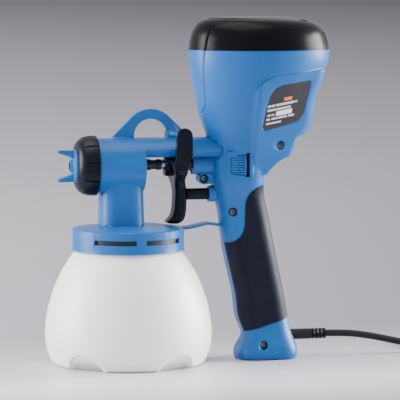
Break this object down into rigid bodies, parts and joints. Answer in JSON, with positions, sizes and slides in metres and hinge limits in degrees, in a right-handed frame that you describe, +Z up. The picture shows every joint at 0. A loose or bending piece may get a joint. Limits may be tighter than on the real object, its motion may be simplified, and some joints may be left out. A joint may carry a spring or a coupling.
{
  "type": "handheld turbine paint sprayer",
  "caption": "Corded hand-held turbine paint sprayer: domed motor head on a pistol handle, front barrel with air cap and trigger, paint cup below.",
  "frame": {"origin": "centre of the cup's round foot, on the surface the sprayer stands on", "axes": "+Z up, the nozzle sprays along -X, the handle and cord are at +X, the housing parting plane is Y = 0"},
  "size_m": [0.5164, 0.1698, 0.3018],
  "materials": {
    "blue_shell": "satin",
    "black_shell": "satin",
    "trigger_black": "satin",
    "soft_grip": "matt",
    "label": "satin",
    "cup_white": "satin",
    "steel": "brushed",
    "brass": "turned",
    "copper": "lacquered wire",
    "iron": "stamped",
    "natural_plastic": "satin",
    "dark_plastic": "matt",
    "foam": "open foam",
    "seal": "matt",
    "cord_black": "satin"
  },
  "bodies": {
    "sprayer": {"air_filter": "foam", "brush_holders": "brass", "clamp_screws": "steel", "cord_clamp": "dark_plastic", "cord_coil": "cord_black", "cord_lead": "cord_black", "cord_run": "cord_black", "cord_tail": "cord_black", "cover_screws": "steel", "cup_gasket": "seal", "cup_lid": "blue_shell", "fan_shroud": "natural_plastic", "field_windings": "copper", "fluid_nozzle": "dark_plastic", "grip_left": "soft_grip", "grip_right": "soft_grip", "gun_body": "blue_shell", "housing_left": "blue_shell", "housing_right": "blue_shell", "housing_screws": "steel", "label_plate": "label", "motor_bearings": "steel", "motor_bridge": "natural_plastic", "motor_field": "iron", "motor_plate": "natural_plastic", "needle_guide": "steel", "needle_packing": "seal", "needle_spring": "steel", "noise_capacitor": "dark_plastic", "packing_nut": "dark_plastic", "pickup_filter": "natural_plastic", "pickup_tube": "natural_plastic", "plug_blades": "brass", "plug_body": "cord_black", "plunger_spring": "steel", "power_switch": "dark_plastic", "stay_arm": "blue_shell", "strain_relief": "seal", "switch_wires": "cord_black", "thread_ring": "dark_plastic", "top_cover": "black_shell"},
    "trigger": {"trigger": "trigger_black", "trigger_pin": "steel"},
    "needle": {"fluid_needle": "steel", "needle_collar": "natural_plastic"},
    "plunger": {"switch_plunger": "trigger_black"},
    "flow_knob": {"flow_wheel": "blue_shell", "flow_screw": "steel"},
    "air_cap": {"air_cap": "blue_shell"},
    "front_ring": {"retaining_ring": "trigger_black"},
    "cup": {"cup": "cup_white"},
    "rotor": {"motor_shaft": "steel", "motor_armature": "iron", "commutator": "copper", "turbine_fan": "natural_plastic"}
  },
  "joints": [
    {"name": "trigger_hinge", "type": "hinge", "parent": "sprayer", "child": "trigger", "pos_m": [0.0453, 0, 0.1993], "axis": [0, -1, 0], "range_deg": [0, 12], "stiffness_Nm_per_rad": 1.5, "springref_deg": -6.88},
    {"name": "needle_slide", "type": "slide", "parent": "sprayer", "child": "needle", "axis": [1, 0, 0], "range_m": [0, 0.0055], "deforming": ["needle_spring"]},
    {"name": "plunger_slide", "type": "slide", "parent": "sprayer", "child": "plunger", "axis": [1, 0, 0], "range_m": [0, 0.012], "deforming": ["plunger_spring"]},
    {"name": "flow_turn", "type": "hinge", "parent": "sprayer", "child": "flow_knob", "pos_m": [0.0935, 0, 0.1732], "axis": [1, 0, 0], "range_deg": [0, 300]},
    {"name": "air_cap_turn", "type": "hinge", "parent": "sprayer", "child": "air_cap", "pos_m": [-0.043, 0, 0.1732], "axis": [1, 0, 0], "range_deg": [-90, 90]},
    {"name": "ring_turn", "type": "hinge", "parent": "sprayer", "child": "front_ring", "pos_m": [-0.036, 0, 0.1732], "axis": [1, 0, 0], "range_deg": [0, 180]},
    {"name": "cup_turn", "type": "hinge", "parent": "sprayer", "child": "cup", "pos_m": [0, 0, 0.1], "axis": [0, 0, 1], "range_deg": [0, 90]},
    {"name": "rotor_spin", "type": "hinge", "parent": "sprayer", "child": "rotor", "pos_m": [0.116, 0, 0.23], "axis": [0, 0, 1], "continuous": true}
  ],
  "couplings": [
    {"joint": "needle_slide", "follows": "trigger_hinge", "m_per_rad": 0.0261},
    {"joint": "plunger_slide", "follows": "trigger_hinge", "m_per_rad": 0.057}
  ]
}
